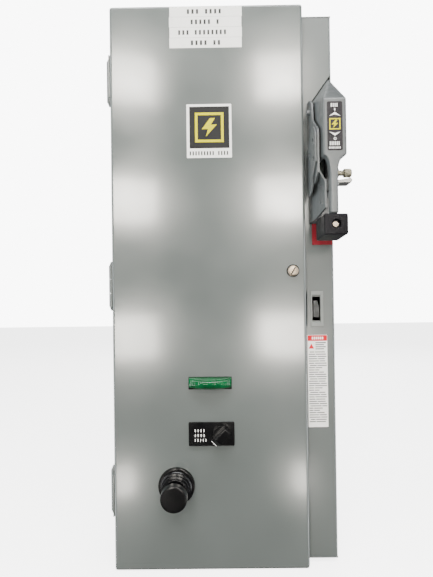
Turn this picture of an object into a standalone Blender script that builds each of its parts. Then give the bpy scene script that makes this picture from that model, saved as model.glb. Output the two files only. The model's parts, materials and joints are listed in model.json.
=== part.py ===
"""A fused disconnect switch with a motor starter, in a wall-hung sheet-steel enclosure.

Metres, +Z up. The front faces -Y and the origin is the centre of the flat back that lies on the wall.
Every part is at rest: door shut, handle down in OFF, blades open, buttons out, selector at HAND.
"""

import math

import bmesh
import bpy
from mathutils import Matrix, Vector

# Enclosure
BOX_W, BOX_D, BOX_H = 0.255, 0.165, 0.634
SHEET = 0.0015
GAP = 0.0003
RIGHT, LEFT = BOX_W / 2, -BOX_W / 2
TOP, BOTTOM = BOX_H / 2, -BOX_H / 2
FRONT = -BOX_D
BEND = 0.003
FLANGE_X0 = 0.0850
FLANGE_RETURN = 0.014
WALL_HOLE_R, WALL_HOLE_X, WALL_HOLE_Z = 0.004, 0.089, 0.295

# Door, a pan in front of the box
DOOR_X0, DOOR_X1 = -0.130, 0.092
DOOR_Z0, DOOR_Z1 = -0.3215, 0.3239
DOOR_FRONT = -0.180
DOOR_REAR = FRONT - 0.0005
HINGE_X, HINGE_Y = -0.134, -0.160
HINGE_ZS = (0.245, 0.003, -0.237)
HINGE_H, KNUCKLE_R, HINGE_PIN_R, PIN_END = 0.048, 0.0037, 0.0016, 0.005

# Devices on the door
SCREW_X, SCREW_Z, SCREW_HEAD_R = 0.0770, 0.0175, 0.006
LENS_X, LENS_Z, LENS_W, LENS_H = -0.0190, -0.1090, 0.048, 0.0130
LENS_END, LENS_CROWN = 0.005, 0.009
SELECTOR_X, SELECTOR_Z, SELECTOR_W, SELECTOR_H, SELECTOR_T = -0.0180, -0.1665, 0.052, 0.027, 0.003
KNOB_X = SELECTOR_X + 0.0115
RESET_X, RESET_Z = -0.0585, -0.2250

# Handle on the flange; its pivot, the crank pins and the link lie in planes of constant X
HEAD_X0, HEAD_X1, HEAD_FRONT_X1 = 0.1026, 0.1240, 0.1268
HEAD_FRONT, HEAD_REAR = -0.234, FRONT - 0.001
HEAD_Z0, HEAD_Z1 = 0.1345, 0.1935
HEAD_LEFT_PEAK, HEAD_PEAK = 0.2135, 0.2430
HEAD_WALL = 0.003
HANDLE_SLOT_X0, HANDLE_SLOT_Z0 = 0.1018, 0.150
ARM_X0, ARM_X1, ARM_DEPTH, NECK = 0.1092, 0.1172, 0.012, 0.018
PIVOT_Y, PIVOT_Z, PIVOT_R = -0.180, 0.198, 0.003
CRANK, CRANK_ANGLE = 0.028, math.radians(-61)
CRANK_X0, CRANK_X1 = 0.1105, 0.1145
LINK_X0, LINK_X1 = 0.1070, 0.1095
CRANK_PIN_R = 0.0025
PIN_CLEARANCE = 0.0004
GRIP_X0, GRIP_X1, GRIP_Z0, GRIP_Z1 = 0.1020, 0.1268, 0.0522, 0.0740
GRIP_DEPTH, GRIP_DROP = 0.045, 0.0022
SIDE_PLATE_X0, SIDE_PLATE_X1 = 0.0985, 0.1005
BOLT_Y, BOLT_Z, BOLT_R = -0.196, 0.1243, 0.003
LOCK_HOLES = ((-0.205, 0.158), (-0.187, 0.147), (-0.207, 0.138))
DEFEATER_X0, DEFEATER_X1, DEFEATER_Z0, DEFEATER_Z1 = 0.0995, 0.1140, -0.0470, -0.0060

# Inside, on the mounting plate
PLATE_FRONT = -0.012
MOUNT = PLATE_FRONT - GAP
POLES = (-0.070, -0.020, 0.030)
SHAFT_Y, SHAFT_Z, SHAFT_R = -0.062, 0.175, 0.007
THROW = math.radians(60)
BLADE_REACH, BLADE_W, BLADE_T = 0.070, 0.012, 0.0024
FUSE_R, FUSE_Y, FUSE_Z0, FUSE_Z1 = 0.0103, -0.058, 0.005, 0.132
FERRULE = 0.022

SCENE = bpy.context.scene
AXES = {"X": Vector((1, 0, 0)), "Y": Vector((0, 1, 0)), "Z": Vector((0, 0, 1))}


def clear_scene():
    for old in list(bpy.data.objects):
        bpy.data.objects.remove(old, do_unlink=True)


def new_collection(name):
    made = bpy.data.collections.new(name)
    SCENE.collection.children.link(made)
    return made


def finish(name, colour, roughness, metallic=0.0):
    made = bpy.data.materials.new(name)
    made.use_nodes = True
    shader = made.node_tree.nodes["Principled BSDF"]
    shader.inputs["Base Color"].default_value = (*colour, 1.0)
    shader.inputs["Roughness"].default_value = roughness
    shader.inputs["Metallic"].default_value = metallic
    return made


clear_scene()
PARTS = new_collection("fused_disconnect_switch")
CUTTERS = new_collection("cutters")
GREY = finish("grey_enamel", (0.27, 0.29, 0.28), 0.42)
CAST = finish("cast_grey_enamel", (0.25, 0.26, 0.27), 0.45)
BLACK = finish("black_plastic", (0.012, 0.012, 0.013), 0.38)
RUBBER = finish("black_rubber", (0.010, 0.010, 0.010), 0.60)
ZINC = finish("zinc_plate", (0.62, 0.62, 0.60), 0.35, metallic=1.0)
NICKEL = finish("nickel_screw", (0.78, 0.70, 0.58), 0.25, metallic=1.0)
COPPER = finish("copper", (0.72, 0.42, 0.27), 0.30, metallic=1.0)
RED = finish("red_enamel", (0.45, 0.03, 0.03), 0.45)
GREEN = finish("green_lens", (0.01, 0.28, 0.10), 0.10)
PHENOLIC = finish("brown_phenolic", (0.10, 0.05, 0.035), 0.50)
FIBRE = finish("fuse_tube", (0.62, 0.50, 0.34), 0.55)


def place(name, mesh, material, location=(0, 0, 0), rotation=None):
    mesh.materials.append(material)
    made = bpy.data.objects.new(name, mesh)
    PARTS.objects.link(made)
    made.location = location
    if rotation is not None:
        made.rotation_euler = rotation.to_euler()
    return made


def mesh_of(name, bm):
    bmesh.ops.recalc_face_normals(bm, faces=bm.faces)
    mesh = bpy.data.meshes.new(name)
    bm.to_mesh(mesh)
    bm.free()
    return mesh


def round_off(obj, width, segments=2):
    if width:
        bevel = obj.modifiers.new("rounded edges", "BEVEL")
        bevel.width = width
        bevel.segments = segments
        bevel.limit_method = "ANGLE"
    return obj


def block(name, low, high, material, bevel=0.0, segments=2):
    """A box between two corners, with rounded edges."""
    low, high = Vector(low), Vector(high)
    bm = bmesh.new()
    bmesh.ops.create_cube(bm, size=1.0)
    bmesh.ops.scale(bm, vec=high - low, verts=bm.verts)
    made = place(name, mesh_of(name, bm), material, (low + high) / 2)
    return round_off(made, bevel, segments)


def rod(name, start, axis, length, radius, material, sides=24, bevel=0.0, tip_radius=None):
    """A cylinder, or a cone, from start along an axis given by its letter."""
    bm = bmesh.new()
    tip = radius if tip_radius is None else tip_radius
    bmesh.ops.create_cone(bm, cap_ends=True, segments=sides, radius1=radius, radius2=tip, depth=length)
    turn = AXES["Z"].rotation_difference(AXES[axis]).to_matrix()
    mesh = mesh_of(name, bm)
    mesh.shade_smooth()
    mesh.set_sharp_from_angle(angle=math.radians(35))
    made = place(name, mesh, material, Vector(start) + AXES[axis] * length / 2, turn)
    return round_off(made, bevel)


def turned(name, profile, centre, material, steps=32):
    """A body turned about a line along Y through centre; the profile pairs distance to the front with radius."""
    bm = bmesh.new()
    points = [bm.verts.new((radius, 0, depth)) for depth, radius in profile]
    for first, second in zip(points, points[1:]):
        bm.edges.new((first, second))
    mesh = bpy.data.meshes.new(name)
    bm.to_mesh(mesh)
    bm.free()
    facing_front = AXES["Z"].rotation_difference(-AXES["Y"]).to_matrix()
    made = place(name, mesh, material, centre, facing_front)
    spin = made.modifiers.new("turned", "SCREW")
    spin.axis = "Z"
    spin.steps = spin.render_steps = steps
    spin.use_merge_vertices = True
    spin.merge_threshold = 0.00005
    spin.use_smooth_shade = True
    return made


def sheet(name, outline, plane, low, high, material, bevel=0.0):
    """A flat outline made thick; plane names the axes of the outline, low and high span the third one."""
    curve = bpy.data.curves.new(name, "CURVE")
    curve.dimensions = "2D"
    curve.fill_mode = "BOTH"
    curve.extrude = (high - low) / 2
    line = curve.splines.new("POLY")
    line.points.add(len(outline) - 1)
    for point, (u, v) in zip(line.points, outline):
        point.co = (u, v, 0, 1)
    line.use_cyclic_u = True
    across, up = AXES[plane[0]], AXES[plane[1]]
    normal = across.cross(up)
    middle = (low + high) / 2 * Vector([abs(part) for part in normal])
    drawn = place(name, curve, material, middle, Matrix((across, up, normal)).transposed())
    bpy.context.view_layer.update()
    solid = bpy.data.meshes.new_from_object(drawn.evaluated_get(bpy.context.evaluated_depsgraph_get()))
    turn = drawn.matrix_world.copy()
    bpy.data.objects.remove(drawn)
    bm = bmesh.new()
    bm.from_mesh(solid)
    bmesh.ops.remove_doubles(bm, verts=bm.verts, dist=0.00001)
    bmesh.ops.dissolve_limit(bm, angle_limit=0.001, verts=bm.verts, edges=bm.edges)
    mesh = mesh_of(name, bm)
    made = place(name, mesh, material)
    made.matrix_world = turn
    return round_off(made, bevel)


def hull(name, points, material, bevel=0.0):
    """The convex solid around a few corner points."""
    bm = bmesh.new()
    for point in points:
        bm.verts.new(point)
    bmesh.ops.convex_hull(bm, input=bm.verts)
    bmesh.ops.dissolve_limit(bm, angle_limit=0.001, verts=bm.verts, edges=bm.edges)
    return round_off(place(name, mesh_of(name, bm), material), bevel)


def combine(target, others, operation):
    for other in others:
        PARTS.objects.unlink(other)
        CUTTERS.objects.link(other)
        other.hide_render = True
        other.display_type = "WIRE"
        boolean = target.modifiers.new(other.name, "BOOLEAN")
        boolean.object = other
        boolean.operation = operation
    return target


def cut(target, *others):
    return combine(target, others, "DIFFERENCE")


def join(target, *others):
    return combine(target, others, "UNION")


def body(name, location, pieces):
    """An empty on a joint's axis that carries the pieces moving about it."""
    carrier = bpy.data.objects.new(name, None)
    PARTS.objects.link(carrier)
    carrier.location = location
    bpy.context.view_layer.update()
    for piece in pieces:
        world = piece.matrix_world.copy()
        piece.parent = carrier
        piece.matrix_world = world
    return carrier


def circle(centre, radius, first=0.0, last=360.0, count=12):
    """Points on an arc, in degrees from the outline's first axis."""
    closed = abs(last - first) >= 360
    steps = count if closed else count - 1
    angles = [math.radians(first + (last - first) * i / steps) for i in range(count)]
    return [(centre[0] + radius * math.cos(a), centre[1] + radius * math.sin(a)) for a in angles]


def bar_outline(start, end, start_radius, end_radius, count=9):
    """A bar with round ends, in an outline's plane."""
    lean = math.degrees(math.atan2(end[1] - start[1], end[0] - start[0]))
    head = circle(end, end_radius, lean - 90, lean + 90, count)
    return head + circle(start, start_radius, lean + 90, lean + 270, count)


# Enclosure ------------------------------------------------------------------------------------


def enclosure_box():
    box = block("enclosure_box", (LEFT, FRONT, BOTTOM), (RIGHT, 0, TOP), GREY)
    room = block(
        "box_room",
        (LEFT + SHEET, FRONT - 0.01, BOTTOM + SHEET),
        (RIGHT + 0.01, -SHEET, TOP - SHEET),
        GREY,
    )
    holes = [
        rod("wall_hole", (x, -0.01, z), "Y", 0.02, WALL_HOLE_R, GREY, sides=16)
        for x in (-WALL_HOLE_X, WALL_HOLE_X)
        for z in (-WALL_HOLE_Z, WALL_HOLE_Z)
    ]
    cut(box, room, *holes)


def side_flange():
    """The right wall and the fixed front strip, one bent sheet with a return behind the door's edge."""
    corner = circle((RIGHT - BEND, FRONT + BEND), BEND, 0, -90, 5)
    path = [(RIGHT, -SHEET - GAP), *corner, (FLANGE_X0, FRONT), (FLANGE_X0, FRONT + FLANGE_RETURN)]
    low, high = BOTTOM + SHEET + GAP, TOP - SHEET - GAP
    bm = bmesh.new()
    points = [bm.verts.new((x, y, low)) for x, y in path]
    edges = [bm.edges.new(pair) for pair in zip(points, points[1:])]
    grown = bmesh.ops.extrude_edge_only(bm, edges=edges)["geom"]
    raised = [piece for piece in grown if isinstance(piece, bmesh.types.BMVert)]
    bmesh.ops.translate(bm, vec=(0, 0, high - low), verts=raised)
    mesh = bpy.data.meshes.new("side_flange")
    bmesh.ops.recalc_face_normals(bm, faces=bm.faces)
    bm.to_mesh(mesh)
    bm.free()
    flange = place("side_flange", mesh, GREY)
    thick = flange.modifiers.new("sheet thickness", "SOLIDIFY")
    thick.thickness = SHEET
    thick.offset = -1.0
    inner_face = RIGHT - SHEET
    slope = (HEAD_PEAK - HEAD_LEFT_PEAK) / (HEAD_X1 - HEAD_X0)
    slot_left_top = HEAD_LEFT_PEAK + 0.0005
    slot = sheet(
        "handle_slot",
        [
            (HANDLE_SLOT_X0, HANDLE_SLOT_Z0),
            (inner_face, HANDLE_SLOT_Z0),
            (inner_face, slot_left_top + slope * (inner_face - HANDLE_SLOT_X0)),
            (HANDLE_SLOT_X0, slot_left_top),
        ],
        "XZ",
        FRONT - 0.005,
        FRONT + 0.0025,
        GREY,
    )
    window = block(
        "defeater_slot",
        (DEFEATER_X0 + 0.0018, FRONT - 0.005, DEFEATER_Z0 + 0.0065),
        (DEFEATER_X1 - 0.0036, FRONT + 0.005, DEFEATER_Z1 - 0.0065),
        GREY,
    )
    tongue = block(
        "tongue_slot",
        (DOOR_X1 + 0.0012, FRONT - 0.005, DEFEATER_Z0),
        (DOOR_X1 + 0.0034, FRONT + 0.005, DEFEATER_Z1),
        GREY,
    )
    cut(flange, slot, window, tongue)
    return flange


def mounting_plate():
    plate = block(
        "mounting_plate", (-0.115, PLATE_FRONT, -0.280), (0.085, PLATE_FRONT + 0.002, 0.280), ZINC
    )
    feet = [
        rod("plate_foot", (x, PLATE_FRONT + 0.001, z), "Y", 0.0089, 0.005, ZINC, sides=12)
        for x in (-0.105, 0.075)
        for z in (-0.270, 0.270)
    ]
    join(plate, *feet)


def hinge(number, centre_z):
    """A fixed leaf with two knuckles and the pin, and a door leaf whose knuckle turns between them."""
    low, high = centre_z - HINGE_H / 2, centre_z + HINGE_H / 2
    door_low, door_high = centre_z - HINGE_H / 6, centre_z + HINGE_H / 6
    inset = 0.0005
    leaf_face = LEFT - GAP
    fixed = block(
        f"hinge_leaf_{number}", (leaf_face - 0.0015, -0.1605, low), (leaf_face, -0.130, high), GREY
    )
    added = [
        rod("hinge_pin", (HINGE_X, HINGE_Y, low - 0.002), "Z", HINGE_H + 0.004, HINGE_PIN_R, GREY, sides=12),
        rod("pin_foot", (HINGE_X, HINGE_Y, low - PIN_END), "Z", PIN_END + inset, 0.0013, GREY, 16, 0, 0.0034),
        rod("pin_top", (HINGE_X, HINGE_Y, high - inset), "Z", PIN_END + inset, 0.0034, GREY, 16, 0, 0.0013),
    ]
    for first, last in ((low, door_low - GAP), (door_high + GAP, high)):
        web_low = (HINGE_X, -0.1612, first + inset)
        web_high = (leaf_face - inset, -0.1588, last - inset)
        added.append(block("fixed_web", web_low, web_high, GREY))
        added.append(
            rod("fixed_knuckle", (HINGE_X, HINGE_Y, first), "Z", last - first, KNUCKLE_R, GREY, sides=16)
        )
    join(fixed, *added)
    outer = DOOR_X0 - GAP
    moving = block(f"door_leaf_{number}", (outer - 0.0015, -0.178, low), (outer, -0.1645, high), GREY)
    moving_web = block(
        "door_web",
        (HINGE_X, -0.1655, door_low + inset),
        (outer - inset, -0.1610, door_high - inset),
        GREY,
    )
    knuckle = rod(
        "door_knuckle", (HINGE_X, HINGE_Y, door_low), "Z", HINGE_H / 3, KNUCKLE_R, GREY, sides=16
    )
    join(moving, moving_web, knuckle)
    hole_r = HINGE_PIN_R + PIN_CLEARANCE
    cut(moving, rod("pin_hole", (HINGE_X, HINGE_Y, low), "Z", HINGE_H, hole_r, GREY, sides=12))
    return moving


def door_panel():
    panel = block(
        "door_panel", (DOOR_X0, DOOR_FRONT, DOOR_Z0), (DOOR_X1, DOOR_REAR + 0.01, DOOR_Z1), GREY, BEND, 3
    )
    trim = block("door_trim", (-0.2, DOOR_REAR, -0.4), (0.2, 0.0, 0.4), GREY)
    room = block(
        "door_room",
        (DOOR_X0 + SHEET, DOOR_FRONT + SHEET, DOOR_Z0 + SHEET),
        (DOOR_X1 - SHEET, DOOR_REAR + 0.005, DOOR_Z1 - SHEET),
        GREY,
    )
    reach = (DOOR_FRONT - 0.005, 0.01)
    holes = [
        rod("screw_hole", (SCREW_X, reach[0], SCREW_Z), "Y", reach[1], 0.0036, GREY, sides=16),
        rod("lamp_hole", (LENS_X, reach[0], LENS_Z), "Y", reach[1], 0.005, GREY, sides=16),
        rod("selector_hole", (KNOB_X, reach[0], SELECTOR_Z), "Y", reach[1], 0.006, GREY, sides=16),
        rod("reset_hole", (RESET_X, reach[0], RESET_Z), "Y", reach[1], 0.0065, GREY, sides=16),
    ]
    cut(panel, trim, room, *holes)
    return panel


# Devices on the door --------------------------------------------------------------------------


def door_screw():
    face = DOOR_FRONT - GAP
    screw = turned(
        "door_screw",
        [(0.0050, 0), (0.0050, SCREW_HEAD_R - 0.0006), (0.0044, SCREW_HEAD_R), (0.0, SCREW_HEAD_R)]
        + [(0.0, 0.0028), (-0.0205, 0.0028), (-0.0223, 0.0012), (-0.0223, 0)],
        (SCREW_X, face, SCREW_Z),
        NICKEL,
        24,
    )
    slot = block("screw_slot", (-0.0007, -0.002, -0.01), (0.0007, 0.002, 0.01), NICKEL)
    slot.location = (SCREW_X, face - 0.0050, SCREW_Z)
    slot.rotation_euler = (0, math.radians(35), 0)
    return cut(screw, slot)


def screw_clip():
    """The nut clip that the door screw enters, on the flange's return."""
    x0, x1 = SCREW_X - 0.014, FLANGE_X0 - GAP
    clip = block("screw_clip", (x0, -0.1625, SCREW_Z - 0.012), (x1, -0.1610, SCREW_Z + 0.012), ZINC)
    foot = block("clip_foot", (x1 - 0.0015, -0.1625, SCREW_Z - 0.012), (x1, -0.152, SCREW_Z + 0.012), ZINC)
    join(clip, foot)
    return cut(clip, rod("clip_hole", (SCREW_X, -0.17, SCREW_Z), "Y", 0.02, 0.0034, ZINC, sides=16))


def pilot_light():
    """A bar lens crowned along its length, and the lamp holder behind the door."""
    face = DOOR_FRONT - GAP
    outline = [(-LENS_W / 2, face + 0.0001)]
    for step in range(-10, 11):
        crown = LENS_CROWN * (1 - (step / 10) ** 2)
        outline.append((LENS_W / 2 * step / 10, face - LENS_END - crown))
    outline.append((LENS_W / 2, face + 0.0001))
    lens = sheet("pilot_lens", outline, "XY", -LENS_H / 2, LENS_H / 2, GREEN, 0.0010)
    lens.location += Vector((LENS_X, 0, LENS_Z))
    stem = rod("pilot_stem", (LENS_X, face - 0.001, LENS_Z), "Y", 0.004, 0.0045, GREEN, sides=16)
    join(lens, stem)
    inside = DOOR_FRONT + SHEET + GAP
    holder = block(
        "pilot_lamp_holder",
        (LENS_X - 0.021, inside + 0.0018, LENS_Z - 0.013),
        (LENS_X + 0.021, inside + 0.036, LENS_Z + 0.013),
        BLACK,
        0.001,
    )
    return [lens, holder]


def selector():
    face = DOOR_FRONT - GAP
    plate = block(
        "selector_plate",
        (SELECTOR_X - SELECTOR_W / 2, face - SELECTOR_T, SELECTOR_Z - SELECTOR_H / 2),
        (SELECTOR_X + SELECTOR_W / 2, face, SELECTOR_Z + SELECTOR_H / 2),
        BLACK,
        0.0012,
    )
    hole = rod("plate_hole", (KNOB_X, face - 0.01, SELECTOR_Z), "Y", 0.02, 0.0045, BLACK, sides=16)
    cut(plate, hole)
    knob_rear = face - SELECTOR_T - GAP
    knob = rod(
        "selector_knob", (KNOB_X, knob_rear - 0.004, SELECTOR_Z), "Y", 0.004, 0.0105, BLACK, 28, 0.0006
    )
    grip_side = [(-0.0130, 0.007), (-0.0130, 0.003), (-0.0060, -0.007), (0.0100, -0.007), (0.0100, 0.007)]
    grip = hull("knob_grip", [(x, y, z) for x, y in grip_side for z in (-0.0044, 0.0044)], BLACK, 0.0012)
    grip.location = (KNOB_X, knob_rear - 0.0080, SELECTOR_Z)
    grip.rotation_euler = (0, math.radians(-45), 0)
    stem = rod("knob_stem", (KNOB_X, knob_rear - 0.002, SELECTOR_Z), "Y", 0.010, 0.004, BLACK, sides=16)
    join(knob, grip, stem)
    inside = DOOR_FRONT + SHEET + GAP
    switch = block(
        "selector_contact_block",
        (SELECTOR_X - 0.020, inside + 0.006, SELECTOR_Z - 0.019),
        (SELECTOR_X + 0.024, inside + 0.042, SELECTOR_Z + 0.019),
        BLACK,
        0.001,
    )
    return plate, knob, switch


def reset_button():
    """Panel nut, ringed boot and the plunger that passes through both and the door."""
    face = DOOR_FRONT - GAP
    place_at = (RESET_X, face, RESET_Z)
    bore = 0.0060
    nut = turned(
        "reset_panel_nut",
        [(0.0050, bore), (0.0050, 0.0190), (0.0040, 0.0205), (0.0, 0.0210), (0.0, bore), (0.0050, bore)],
        place_at,
        BLACK,
    )
    rings = [(0.0200, bore), (0.0200, 0.0125)]
    for step in range(3):
        front, radius = 0.0200 - step * 0.0045, 0.0138 + step * 0.0016
        rings += [(front - 0.0010, radius), (front - 0.0034, radius), (front - 0.0045, radius - 0.0008)]
    rings += [(0.0053, 0.0175), (0.0053, bore), (0.0200, bore)]
    boot = turned("reset_boot", rings, place_at, RUBBER)
    button = turned(
        "reset_button",
        [(0.0405, 0), (0.0405, 0.0118), (0.0393, 0.0142), (0.0325, 0.0147), (0.0300, 0.0142)]
        + [(0.0300, 0.0050), (-0.0700, 0.0050), (-0.0710, 0.0040), (-0.0710, 0)],
        place_at,
        BLACK,
    )
    return nut, boot, button


# Operating handle -----------------------------------------------------------------------------

CRANK_PIN = (PIVOT_Y + CRANK * math.cos(CRANK_ANGLE), PIVOT_Z + CRANK * math.sin(CRANK_ANGLE))
ROTOR_PIN = (SHAFT_Y + CRANK * math.cos(CRANK_ANGLE), SHAFT_Z + CRANK * math.sin(CRANK_ANGLE))


def handle_lever():
    """A cast lever: a hollow head with a two-facet top, a hollowed neck, and a rib that is the crank."""
    head = hull(
        "handle_lever",
        [(x, HEAD_FRONT, z) for x in (HEAD_X0, HEAD_FRONT_X1) for z in (HEAD_Z0, HEAD_Z1)]
        + [(x, HEAD_REAR, HEAD_Z0) for x in (HEAD_X0, HEAD_X1)]
        + [(HEAD_X0, HEAD_REAR, HEAD_LEFT_PEAK), (HEAD_X1, HEAD_REAR, HEAD_PEAK)],
        CAST,
        0.0012,
    )
    inner_x = (HEAD_X0 + HEAD_WALL, HEAD_X1 - HEAD_WALL)
    front, rear = HEAD_FRONT + HEAD_WALL, HEAD_REAR + 0.01
    hollow = hull(
        "head_hollow",
        [(x, front, z) for x in inner_x for z in (HEAD_Z0 + 0.004, HEAD_Z1 - 0.006)]
        + [(x, rear, HEAD_Z0 + 0.004) for x in inner_x]
        + [(inner_x[0], rear, HEAD_LEFT_PEAK - 0.004), (inner_x[1], rear, HEAD_PEAK - 0.009)],
        CAST,
    )
    open_foot = block(
        "head_open_foot", (inner_x[0], HEAD_FRONT + ARM_DEPTH, 0.12), (inner_x[1], rear, 0.15), CAST
    )
    cut(head, hollow, open_foot)
    arm_rear = HEAD_FRONT + ARM_DEPTH
    quarter = [math.radians(18 * step) for step in range(6)]
    right, left = HEAD_FRONT_X1 - 0.001 - ARM_X1, ARM_X0 - HEAD_X0 - 0.001
    outline = [(HEAD_X0 + 0.001, HEAD_Z0 + 0.004), (HEAD_FRONT_X1 - 0.001, HEAD_Z0 + 0.004)]
    quarter = [(1 - math.sin(a), HEAD_Z0 - NECK * (1 - math.cos(a))) for a in quarter]
    outline += [(ARM_X1 + right * across, z) for across, z in quarter]
    outline += [(ARM_X0 - left * across, z) for across, z in reversed(quarter)]
    neck = sheet("lever_neck", outline, "XZ", HEAD_FRONT, arm_rear, CAST)
    arm = block(
        "lever_arm", (ARM_X0, HEAD_FRONT, GRIP_Z1 + GAP), (ARM_X1, arm_rear, HEAD_Z0 - 0.015), CAST, 0.001
    )
    rib = sheet(
        "crank_rib",
        [(-0.2325, 0.1665), (-0.2325, 0.1860), (-0.1900, 0.2060), (-0.1620, 0.2060), (-0.1620, 0.1665)],
        "YZ",
        CRANK_X0,
        CRANK_X1,
        CAST,
    )
    join(head, neck, arm, rib)
    pivot_hole = rod(
        "pivot_hole", (0.09, PIVOT_Y, PIVOT_Z), "X", 0.05, PIVOT_R + PIN_CLEARANCE, CAST, sides=20
    )
    pin_hole = rod(
        "crank_pin_hole",
        (CRANK_X0 - 0.001, *CRANK_PIN),
        "X",
        0.006,
        CRANK_PIN_R + PIN_CLEARANCE,
        CAST,
        sides=16,
    )
    return cut(head, pivot_hole, pin_hole)


def handle_grip():
    """The black moulded end, deeper at the bottom of its rear, with the counterbore of its screw."""
    front = HEAD_FRONT - 0.0010
    rear = front + GRIP_DEPTH
    grip = hull(
        "handle_grip",
        [
            (x, y, z)
            for x in (GRIP_X0, GRIP_X1)
            for y, z in ((front, GRIP_Z0), (front, GRIP_Z1), (rear, GRIP_Z1), (rear, GRIP_Z0 - GRIP_DROP))
        ],
        BLACK,
        0.0018,
    )
    x, z = (GRIP_X0 + GRIP_X1) / 2, (GRIP_Z0 + GRIP_Z1) / 2
    cut(grip, rod("grip_bore", (x, front - 0.01, z), "Y", 0.0155, 0.0050, BLACK, sides=20))
    screw = rod(
        "grip_screw", (x, front + 0.0036, z), "Y", 0.0017, 0.0029, NICKEL, sides=20, bevel=0.0003
    )
    return grip, screw


def handle_bracket():
    """A bent bracket on the flange: base, a tall side plate left of the head, and an ear inside the head."""
    base_rear = FRONT - GAP
    bracket = block(
        "handle_bracket", (SIDE_PLATE_X0, base_rear - 0.002, 0.0735), (0.1250, base_rear, 0.1320), CAST
    )
    deep = -0.2215
    side = [
        (base_rear, 0.1120),
        (-0.2080, 0.1120),
        (deep, 0.1200),
        *circle((deep + 0.012, 0.160), 0.012, 180, 100, 5),
        (-0.1940, 0.1850),
        (-0.1910, 0.2040),
        (-0.1800, 0.2120),
        (base_rear, 0.2140),
    ]
    plate = sheet("bracket_side", side, "YZ", SIDE_PLATE_X0, SIDE_PLATE_X1, CAST)
    rear_x, front_x = (SIDE_PLATE_X0, SIDE_PLATE_X1), (0.1062, 0.1085)
    web = hull(
        "bracket_web",
        [(x, base_rear, z) for x in rear_x for z in (0.0735, 0.1130)]
        + [(x, -0.1860, 0.0738) for x in (0.1014, 0.1035)]
        + [(x, -0.2200, z) for x in front_x for z in (0.0822, 0.1130)],
        CAST,
        0.0006,
    )
    inset = 0.0003
    bend = hull(
        "bracket_bend",
        [(x, y, 0.1230) for x in (rear_x[0] + inset, rear_x[1] - inset) for y in (-0.1700, -0.2210)]
        + [(x, -0.1700, 0.1100) for x in (rear_x[0] + 4 * inset, rear_x[1] - inset)]
        + [(x, -0.2195, 0.1100) for x in (front_x[0] + inset, front_x[1] - inset)],
        CAST,
    )
    ear = sheet(
        "bracket_ear",
        [(base_rear, 0.110), (base_rear - 0.012, 0.110)]
        + circle((PIVOT_Y, PIVOT_Z), 0.0085, 180, 0, 7)
        + [(base_rear, 0.150)],
        "YZ",
        0.1175,
        0.1200,
        CAST,
    )
    lug = block("bolt_lug", (0.1210, -0.2030, 0.1080), (0.1230, base_rear, 0.1300), CAST)
    join(bracket, plate, web, bend, ear, lug)
    slots = [
        block("lock_slot", (0.094, y, 0.089), (0.115, y + 0.0022, 0.108), CAST)
        for y in (-0.2120, -0.2060)
    ]
    holes = [
        rod("lock_hole", (0.09, y, z), "X", 0.012, 0.0026, CAST, sides=12)
        for y, z in LOCK_HOLES
    ]
    pin_hole = rod(
        "bracket_pivot_hole", (0.09, PIVOT_Y, PIVOT_Z), "X", 0.04, PIVOT_R + PIN_CLEARANCE, CAST, sides=20
    )
    bolt_hole = rod(
        "bracket_bolt_hole", (0.118, BOLT_Y, BOLT_Z), "X", 0.01, BOLT_R + PIN_CLEARANCE, CAST, sides=16
    )
    return cut(bracket, *slots, *holes, pin_hole, bolt_hole)


def lock_plate():
    """The outer plate of the padlock hasp, with a round foot."""
    outline = [
        (-0.1680, 0.1520),
        (-0.1680, 0.1180),
        *circle((-0.1850, 0.1180), 0.017, 0, -180, 8),
        (-0.2190, 0.1320),
        *circle((-0.2040, 0.158), 0.015, 180, 60, 7),
    ]
    x1 = SIDE_PLATE_X0 - GAP
    plate = sheet("lock_plate", outline, "YZ", x1 - 0.0015, x1, CAST)
    holes = [
        rod("plate_lock_hole", (0.08, y, z), "X", 0.03, 0.0030, CAST, sides=12)
        for y, z in LOCK_HOLES
    ]
    return cut(plate, *holes)


def handle_fixings():
    """The pivot pin, the knurled cross bolt, the hasp tab under it and the red plate behind the grip."""
    rod("pivot_pin", (0.0950, PIVOT_Y, PIVOT_Z), "X", 0.0295, PIVOT_R, ZINC, sides=20, bevel=0.0004)
    bolt = rod("lock_bolt", (0.1180, BOLT_Y, BOLT_Z), "X", 0.0145, BOLT_R, ZINC, sides=16)
    head = rod("bolt_head", (0.1318, BOLT_Y, BOLT_Z), "X", 0.0090, 0.0049, ZINC, sides=24, bevel=0.0010)
    ring = rod("bolt_nut", (0.1236, BOLT_Y, BOLT_Z), "X", 0.0030, 0.0052, ZINC, sides=6)
    join(bolt, head, ring)
    tab = sheet(
        "hasp_tab",
        [
            (0.1240, 0.1120),
            (0.1370, 0.1120),
            *circle((0.1370, 0.1146), 0.0026, -90, 90, 6),
            (0.1240, 0.1150),
        ],
        "XZ",
        -0.205,
        -0.186,
        ZINC,
    )
    stem = block("tab_foot", (0.1234, -0.2030, 0.1100), (0.1250, -0.170, 0.1160), ZINC)
    join(tab, stem)
    red_rear = FRONT - GAP
    block("lockout_plate", (0.1020, red_rear - 0.0015, 0.0480), (0.1265, red_rear, 0.0728), RED)


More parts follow.
